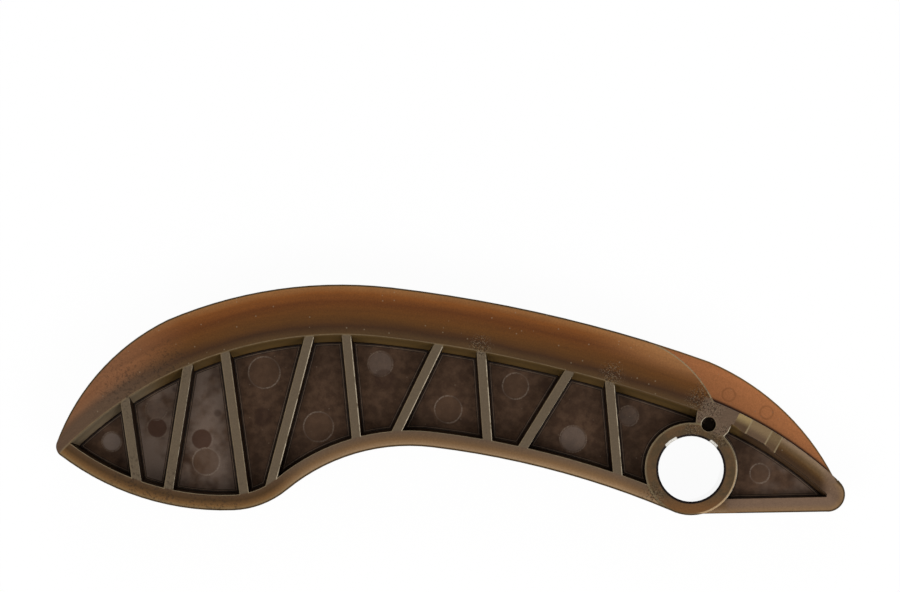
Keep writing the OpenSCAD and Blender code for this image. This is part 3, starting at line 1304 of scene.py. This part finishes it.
@dataclass(frozen=True)
class TrackFinish(Finish):
    """Glossy dark slide face and bore, polished by the mould."""

    dark: Tone = Tone(44, 31, 20)
    warm: Tone = Tone(58, 42, 28)
    coat: float = 0.0
    stretch: float = 0.08

    def build(self, groups: SharedGroups) -> bpy.types.Material:
        """Builds the material.

        Args:
            groups: The shared shader groups.

        Returns:
            The material.
        """
        made, s, shader, _, grain = self.start(groups)
        shader.inputs["Coat Weight"].default_value = self.coat
        x, y, z = s.split(s.place())
        stretched = s.join(s.times(x, self.stretch), s.times(y, self.stretch), z)
        streak = s.noise(stretched, 1.2, 3.0, 0.6)
        colour = s.blend(s.rise(streak, 0.35, 0.7), self.dark, self.warm)
        relief = s.number("ADD", streak, s.number("MULTIPLY", grain["Grain"], 0.15))
        self.close(s, shader, colour, streak, relief)
        return made


@dataclass
class GuideRail:
    """The moulded rail: the solid's form with softened edges and ejector marks."""

    lines: RailLines
    groups: SharedGroups
    name: str = "guide_rail_moulding"
    edge: float = 0.14
    edge_steps: int = 2
    sharp: float = 24.0
    weld: float = 0.11
    mark_depth: float = 0.09
    corner_weld: float = 0.1
    foot_dark: float = 0.13
    foot_pale: float = 0.16
    foot_line: float = 0.11
    mark_sides: int = 48
    flat_angle: float = 0.4
    smooth_angle: float = 35.0
    tip_snap: float = 0.03
    seam_reach: float = 0.1
    seam_span: float = 0.65
    near: float = 0.1
    reach: float = 0.4
    track_half: float = 5.6
    edge_band: float = 0.2
    facing: float = 0.2
    upright: float = 0.3
    overhang: float = 0.5
    sloped: float = 0.9
    flat: float = 0.97
    dead_flat: float = 0.999
    skin: SkinFinish = SkinFinish("amber_moulded_skin", (0.4, 0.6), 0.2, 0.12, 0.0095)
    floor: FloorFinish = FloorFinish("dark_pocket_floor", (0.4, 0.58), 0.3, 0.1, 0.006)
    wall: WallFinish = WallFinish("painted_shade_pocket_wall", (0.4, 0.58), 0.2, 0.1, 0.004)
    under: UnderFinish = UnderFinish("olive_plate_underside", (0.4, 0.58), 0.2, 0.12, 0.005)
    rim: EdgeFinish = EdgeFinish("pale_pocket_edge", (0.4, 0.58), 0.2, 0.12, 0.006)
    # Pocket edges facing the lower right take a brighter painted highlight.
    highlit_rim: EdgeFinish = EdgeFinish("highlit_rib_edge", (0.4, 0.58), 0.2, 0.12, 0.006,
                                      worn=Tone(164, 151, 130))
    lit_side: Vector = field(default_factory=lambda: Vector((0.87, -0.49, 0.0)))
    track: TrackFinish = TrackFinish("polished_chain_track", (0.16, 0.26), 0.1, 0.5, 0.0)
    bore: TrackFinish = TrackFinish("smooth_pivot_bore", (0.03, 0.07), 0.02, 0.5, 0.0,
                                    Tone(24, 17, 11), Tone(30, 22, 15), coat=1.0)
    piece: bpy.types.Object = field(default=None, init=False)

    def build(self) -> bpy.types.Object:
        """Makes the piece and dresses it.

        Returns:
            The finished piece.
        """
        self._copy_form()
        self._soften_edges()
        self._dress()
        # Painted shade and highlight at the foot of the pocket walls: a dark strip, a pale strip and a dark line, from
        # the wall inwards.
        self._line_floor(self.foot_dark, Zone.WALL)
        self._line_floor(self.foot_pale, Zone.EDGE)
        self._line_floor(self.foot_line, Zone.WALL)
        self._press_marks()
        self._smooth()
        return self.piece

    def _copy_form(self) -> None:
        """Copies the solid's mesh, joins its faces and clears the edges inside flat faces."""
        bpy.ops.object.select_all(action="DESELECT")
        source = frame["nodes"][NODE]
        source.select_set(True)
        bpy.context.view_layer.objects.active = source
        bpy.ops.object.duplicate()
        self.piece = bpy.context.view_layer.objects.active
        for key in [key for key in self.piece.keys() if key.startswith("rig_")]:
            del self.piece[key]
        self.piece.name = self.name
        self.piece.data.name = self.name
        self.piece.data.materials.clear()
        self._settle_slivers()
        bpy.ops.object.mode_set(mode="EDIT")
        bpy.ops.mesh.select_mode(type="VERT")
        bpy.ops.mesh.select_all(action="SELECT")
        bpy.ops.mesh.customdata_custom_splitnormals_clear()
        bpy.ops.mesh.remove_doubles(threshold=self.weld * MM)
        bpy.ops.mesh.dissolve_degenerate(threshold=self.weld * MM)
        bpy.ops.mesh.delete_loose(use_verts=True, use_edges=True, use_faces=False)
        bpy.ops.mesh.select_all(action="SELECT")
        bpy.ops.mesh.dissolve_limited(angle_limit=math.radians(self.flat_angle))
        bpy.ops.object.mode_set(mode="OBJECT")

    def _settle_slivers(self) -> None:
        """Brings points together where surfaces of the solid almost meet, at the tip and in one corner."""
        k = self.lines
        for vertex in self.piece.data.vertices:
            spot = vertex.co / MM
            if abs(spot.z - k.tip_level) < self.tip_snap:
                vertex.co.z = k.tip_level * MM
            if math.dist((spot.x, spot.y), k.seam) > self.seam_reach:
                continue
            for level in k.seam_levels:
                if abs(spot.z - level) < self.seam_span:
                    vertex.co = Vector((*k.seam, level)) * MM

    def _soften_edges(self) -> None:
        """Rounds the edges with a bevel that stays between the two faces."""
        bevel = self.piece.modifiers.new("soft_edges", "BEVEL")
        bevel.limit_method = "ANGLE"
        bevel.angle_limit = math.radians(self.sharp)
        bevel.width = self.edge * MM
        bevel.segments = self.edge_steps
        bevel.use_clamp_overlap = False
        bpy.ops.object.modifier_apply(modifier=bevel.name)
        top = self.lines.width * MM
        for vertex in self.piece.data.vertices:
            vertex.co.z = min(max(vertex.co.z, 0.0), top)

    def _press_marks(self) -> None:
        """Presses the ejector marks into the front pocket floors."""
        for index, mark in enumerate(MARKS):
            if not mark.pressed:
                continue
            bpy.ops.object.select_all(action="DESELECT")
            bpy.ops.mesh.primitive_cylinder_add(
                vertices=self.mark_sides, radius=mark.r * MM, depth=2 * self.mark_depth * MM,
                location=(mark.x * MM, mark.y * MM, self.lines.floor * MM))
            pin = bpy.context.view_layer.objects.active
            pin.name = f"ejector_pin_{index}"
            bpy.ops.object.transform_apply(location=True, rotation=True, scale=True)
            bpy.ops.object.select_all(action="DESELECT")
            self.piece.select_set(True)
            bpy.context.view_layer.objects.active = self.piece
            cut = self.piece.modifiers.new("ejector_mark", "BOOLEAN")
            cut.operation = "DIFFERENCE"
            cut.solver = "EXACT"
            cut.object = pin
            bpy.ops.object.modifier_apply(modifier=cut.name)
            bpy.data.objects.remove(pin, do_unlink=True)
        bottom = (self.lines.floor - self.mark_depth) * MM
        for face in self.piece.data.polygons:
            low, high = (ends(self.piece.data.vertices[i].co.z for i in face.vertices) for ends in (min, max))
            if abs(low - bottom) < 0.01 * MM and high - low < 1.1 * self.mark_depth * MM:
                face.material_index = Zone.FLOOR.value

    def _line_floor(self, width: float, zone: Zone) -> None:
        """Sets a narrow strip round the pocket floors apart by an inset.

        Args:
            width: Width of the strip, in mm.
            zone: Finish of the strip.
        """
        bpy.ops.object.mode_set(mode="EDIT")
        bpy.ops.mesh.select_mode(type="FACE")
        bpy.ops.mesh.select_all(action="DESELECT")
        bpy.ops.object.mode_set(mode="OBJECT")
        for face in self.piece.data.polygons:
            face.select = face.material_index == Zone.FLOOR.value
            if face.select:
                face.material_index = zone.value
        bpy.ops.object.mode_set(mode="EDIT")
        bpy.ops.mesh.inset(thickness=width * MM, depth=0.0)
        bpy.ops.mesh.remove_doubles(threshold=self.corner_weld * MM)
        bpy.ops.object.mode_set(mode="OBJECT")
        for face in self.piece.data.polygons:
            if face.select:
                face.material_index = Zone.FLOOR.value

    def _zone(self, centre: Vector, normal: Vector) -> Zone:
        """Says which finish a face gets.

        Args:
            centre: Middle of the face, in mm.
            normal: Direction of the face.

        Returns:
            The zone.
        """
        k = self.lines
        up = k.up(centre.x, centre.y)
        level = abs(centre.z - k.middle)
        tilt = abs(normal.z)
        if abs(up) < self.near and tilt < self.upright and level < self.track_half and normal.y > self.facing:
            return Zone.TRACK
        if k.bore.outside(centre.x, centre.y) < self.reach and tilt < self.sloped:
            return Zone.BORE if tilt < self.facing else Zone.SKIN
        if k.blind_hole.outside(centre.x, centre.y) < self.near / 2:
            return Zone.SKIN if normal.z > self.sloped else Zone.WALL
        inside = up < -k.plate + self.near and k.low(centre.x, centre.y) > k.bar - self.reach
        if not inside:
            return Zone.SKIN
        if level > k.middle - self.edge_band:
            if tilt > self.flat:
                return Zone.SKIN
            # Rounded pocket edges are painted pale as highlights, brighter where they face the lower right.
            return Zone.WORN if normal.dot(self.lit_side) > self.upright else Zone.EDGE
        if tilt > self.dead_flat and abs(level - k.web / 2) < self.near / 2:
            return Zone.FLOOR
        if tilt > self.flat and level > k.web:
            return Zone.SKIN
        if normal.y < -self.overhang and up > -k.plate - k.plate_root - self.near:
            return Zone.UNDER
        return Zone.WALL

    def _dress(self) -> None:
        """Gives the faces their finishes and ties the piece to the body."""
        finishes = {
            Zone.SKIN: self.skin, Zone.FLOOR: self.floor, Zone.WALL: self.wall,
            Zone.UNDER: self.under, Zone.TRACK: self.track, Zone.BORE: self.bore, Zone.EDGE: self.rim,
            Zone.WORN: self.highlit_rim,
        }
        for zone in Zone:
            self.piece.data.materials.append(finishes[zone].build(self.groups))
        for face in self.piece.data.polygons:
            face.material_index = self._zone(face.center / MM, face.normal).value
        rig.ride(self.piece, BODY)
        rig.replaces(self.piece, NODE)
        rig.slot(self.piece, SLOT)

    def _smooth(self) -> None:
        """Shades the curved faces smooth and keeps the flat ones flat."""
        bpy.ops.object.select_all(action="DESELECT")
        self.piece.select_set(True)
        bpy.context.view_layer.objects.active = self.piece
        bpy.ops.object.shade_smooth_by_angle(angle=math.radians(self.smooth_angle))
        weigh = self.piece.modifiers.new("even_shading", "WEIGHTED_NORMAL")
        weigh.keep_sharp = True
        bpy.ops.object.modifier_apply(modifier=weigh.name)


@dataclass(frozen=True)
class Softbox:
    """A soft studio lamp, in metres and watts."""

    name: str
    place: tuple[float, float, float]
    size: tuple[float, float]
    power: float

    def build(self, aim: Vector) -> bpy.types.Object:
        """Adds the lamp and points it.

        Args:
            aim: Point that the lamp looks at.

        Returns:
            The lamp.
        """
        bpy.ops.object.light_add(type="AREA", location=self.place)
        lamp = bpy.context.view_layer.objects.active
        lamp.name = self.name
        lamp.data.shape = "RECTANGLE"
        lamp.data.size, lamp.data.size_y = self.size
        lamp.data.energy = self.power
        lamp.rotation_euler = (aim - Vector(self.place)).to_track_quat("-Z", "Y").to_euler()
        return lamp


@dataclass
class Studio:
    """Pale floor, soft light and a camera straight over the rail."""

    aim: Vector = field(default_factory=lambda: Vector((-0.044, 0.012, 0.0)))
    camera_place: tuple[float, float, float] = (-0.04417, 0.03169, 1.262)
    lens: float = 271.8
    sensor: float = 36.0
    sight: float = 20.0
    sky_top: float = 0.55
    sky_rim: float = 0.45
    floor_tone: Tone = Tone(246, 246, 246)
    floor_size: float = 6.0
    floor_drop: float = 0.0001
    floor_roughness: float = 0.9
    floor_specular: float = 0.1
    floor_glow: float = 1.0
    floor_glow_share: float = 0.96
    lamps: tuple[Softbox, ...] = (
        Softbox("softbox_left", (-0.40, -0.32, 0.85), (0.45, 0.45), 2.8),
        Softbox("softbox_right", (0.31, -0.32, 0.85), (0.45, 0.45), 2.8),
        Softbox("softbox_back", (-0.05, 0.70, 0.60), (0.45, 0.45), 1.4),
        Softbox("strip_left", (-0.58, -0.69, 0.10), (0.50, 0.06), 1.0),
        Softbox("strip_right", (0.58, -0.69, 0.12), (0.50, 0.12), 2.4),
    )

    def build(self) -> None:
        """Makes the whole studio."""
        bpy.context.scene.view_settings.view_transform = "Standard"
        self._floor()
        self._sky()
        for lamp in self.lamps:
            log.info("lamp %s", lamp.build(self.aim).name)
        self._camera()

    def _floor(self) -> None:
        """Lays the floor, which shows pale and keeps the shadow."""
        bpy.ops.object.select_all(action="DESELECT")
        bpy.ops.mesh.primitive_plane_add(size=self.floor_size, location=(0.0, 0.0, -self.floor_drop))
        floor = bpy.context.view_layer.objects.active
        floor.name = "studio_floor"
        bpy.ops.object.transform_apply(location=True, rotation=True, scale=True)
        made = bpy.data.materials.new("pale_floor")
        made.use_nodes = True
        s = NodeSheet(made.node_tree)
        shader = made.node_tree.nodes["Principled BSDF"]
        shader.inputs["Base Color"].default_value = self.floor_tone.linear()
        shader.inputs["Roughness"].default_value = self.floor_roughness
        shader.inputs["Specular IOR Level"].default_value = self.floor_specular
        glow = s.add("ShaderNodeEmission")
        glow.inputs["Strength"].default_value = self.floor_glow
        path = s.add("ShaderNodeLightPath").outputs
        seen = s.most(path["Is Camera Ray"], path["Is Glossy Ray"], path["Is Transmission Ray"])
        mix = s.add("ShaderNodeMixShader")
        s.feed(mix.inputs[0], s.number("MULTIPLY", seen, self.floor_glow_share))
        s.feed(mix.inputs[1], shader.outputs[0])
        s.feed(mix.inputs[2], glow.outputs[0])
        s.feed(made.node_tree.nodes["Material Output"].inputs["Surface"], mix.outputs[0])
        floor.data.materials.append(made)
        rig.stage(floor)

    def _sky(self) -> None:
        """Sets the plain world, a little brighter overhead than round the sides."""
        world = bpy.data.worlds.new("studio_world")
        bpy.context.scene.world = world
        world.use_nodes = True
        s = NodeSheet(world.node_tree)
        back = world.node_tree.nodes["Background"]
        back.inputs["Color"].default_value = (1.0, 1.0, 1.0, 1.0)
        _, _, height = s.split(s.add("ShaderNodeTexCoord").outputs["Generated"])
        slope = s.add("ShaderNodeMapRange")
        s.feed(slope.inputs["Value"], height)
        slope.inputs["To Min"].default_value = self.sky_rim
        slope.inputs["To Max"].default_value = self.sky_top
        s.feed(back.inputs["Strength"], slope.outputs["Result"])

    def _camera(self) -> None:
        """Hangs the camera over the rail."""
        bpy.ops.object.camera_add(location=self.camera_place, rotation=(0.0, 0.0, 0.0))
        camera = bpy.context.view_layer.objects.active
        camera.name = "photo_camera"
        camera.data.sensor_width = self.sensor
        camera.data.lens = self.lens
        camera.data.clip_end = self.sight
        bpy.context.scene.camera = camera


def write_sizes() -> None:
    """Writes the CAD box and the visual model's box."""
    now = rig.bounds()
    with open(SIZE_FILE, "w") as out:
        json.dump({"cad": [list(c) for c in CAD_BOX], "visual": [list(c) for c in now]}, out)


def main() -> None:
    """Builds the studio and the rail in order."""
    logging.basicConfig(level=logging.INFO, format="%(name)s: %(message)s")
    Studio().build()
    piece = GuideRail(LINES, SharedGroups(LINES)).build()
    log.info("%s has %d faces", piece.name, len(piece.data.polygons))
    write_sizes()


if __name__ == "__main__":
    main()
